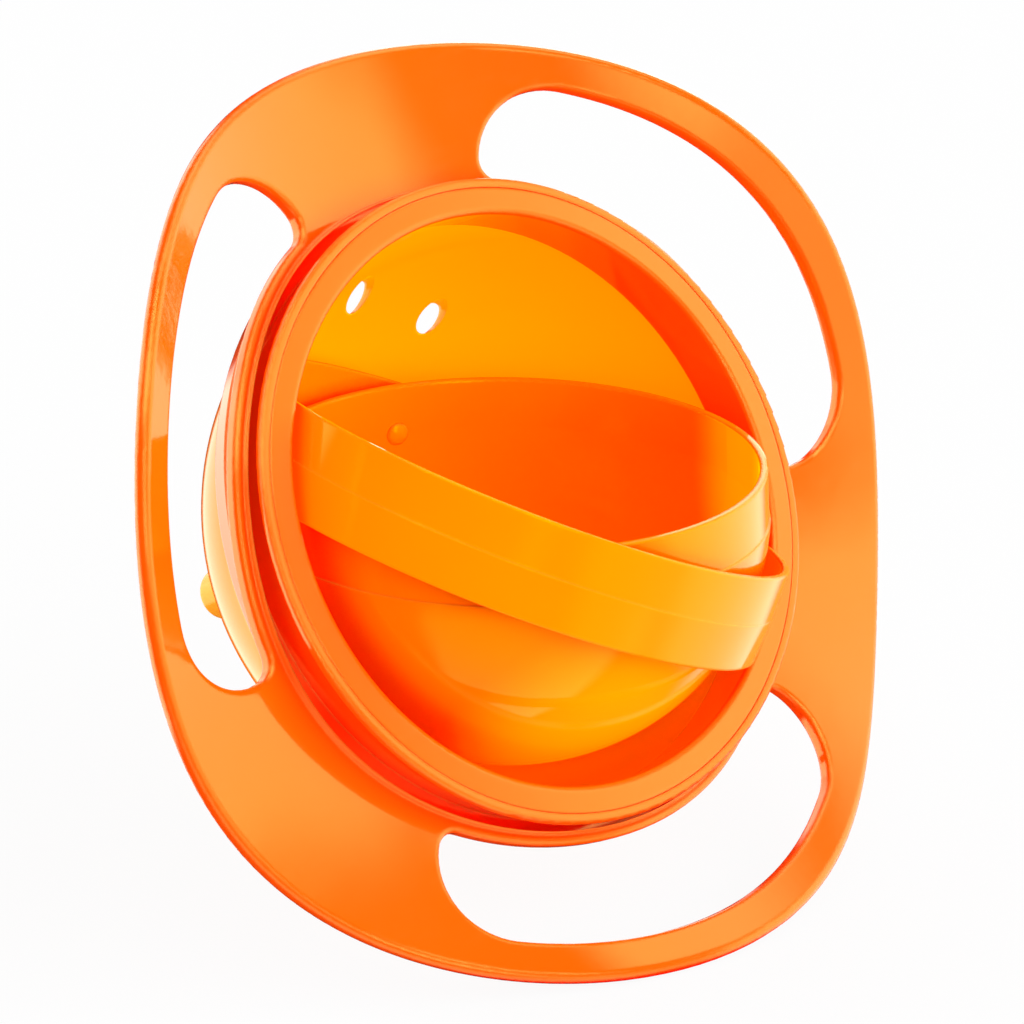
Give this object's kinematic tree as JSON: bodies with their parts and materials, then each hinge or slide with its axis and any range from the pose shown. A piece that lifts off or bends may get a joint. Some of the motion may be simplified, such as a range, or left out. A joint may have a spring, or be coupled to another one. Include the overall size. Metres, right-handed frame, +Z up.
{
  "type": "gyroscopic baby bowl",
  "caption": "Spill-proof gyroscopic baby bowl: a round food bowl hung in a gimbal ring inside a domed housing with wavy loop handles.",
  "frame": {"origin": "middle of the object's bounding box at its lowest level, with the food bowl level and the housing tipped as a hand holds it", "axes": "+Z up, out of the level food bowl; the housing's mouth faces -Y and up, tipped 60.9 degrees from upright; +X across the object, its widest side"},
  "size_m": [0.225, 0.1568, 0.1858],
  "materials": {
    "orange_plastic": "glossy injection-moulded orange",
    "amber_plastic": "glossy injection-moulded amber yellow",
    "bowl_plastic": "glossy injection-moulded amber yellow, slightly deeper",
    "pin_plastic": "satin moulded pins",
    "foot_plastic": "satin moulded studs"
  },
  "bodies": {
    "housing": {"handle_frame": "orange_plastic", "front_bezel": "orange_plastic", "rear_shell": "amber_plastic", "foot_stud_1": "foot_plastic", "foot_stud_2": "foot_plastic", "foot_stud_3": "foot_plastic"},
    "ring": {"gimbal_ring": "amber_plastic", "ring_pin_right": "pin_plastic", "ring_pin_left": "pin_plastic"},
    "food_bowl": {"bowl": "bowl_plastic", "bowl_pin_rear": "pin_plastic", "bowl_pin_front": "pin_plastic"}
  },
  "joints": [
    {"name": "ring_swing", "type": "hinge", "parent": "housing", "child": "ring", "pos_m": [0, -0.00147, 0.08723], "axis": [0.8925, -0.2197, -0.3939], "continuous": true},
    {"name": "bowl_swing", "type": "hinge", "parent": "ring", "child": "food_bowl", "pos_m": [0, -0.00147, 0.08723], "axis": [0.239, 0.971, 0], "continuous": true}
  ]
}
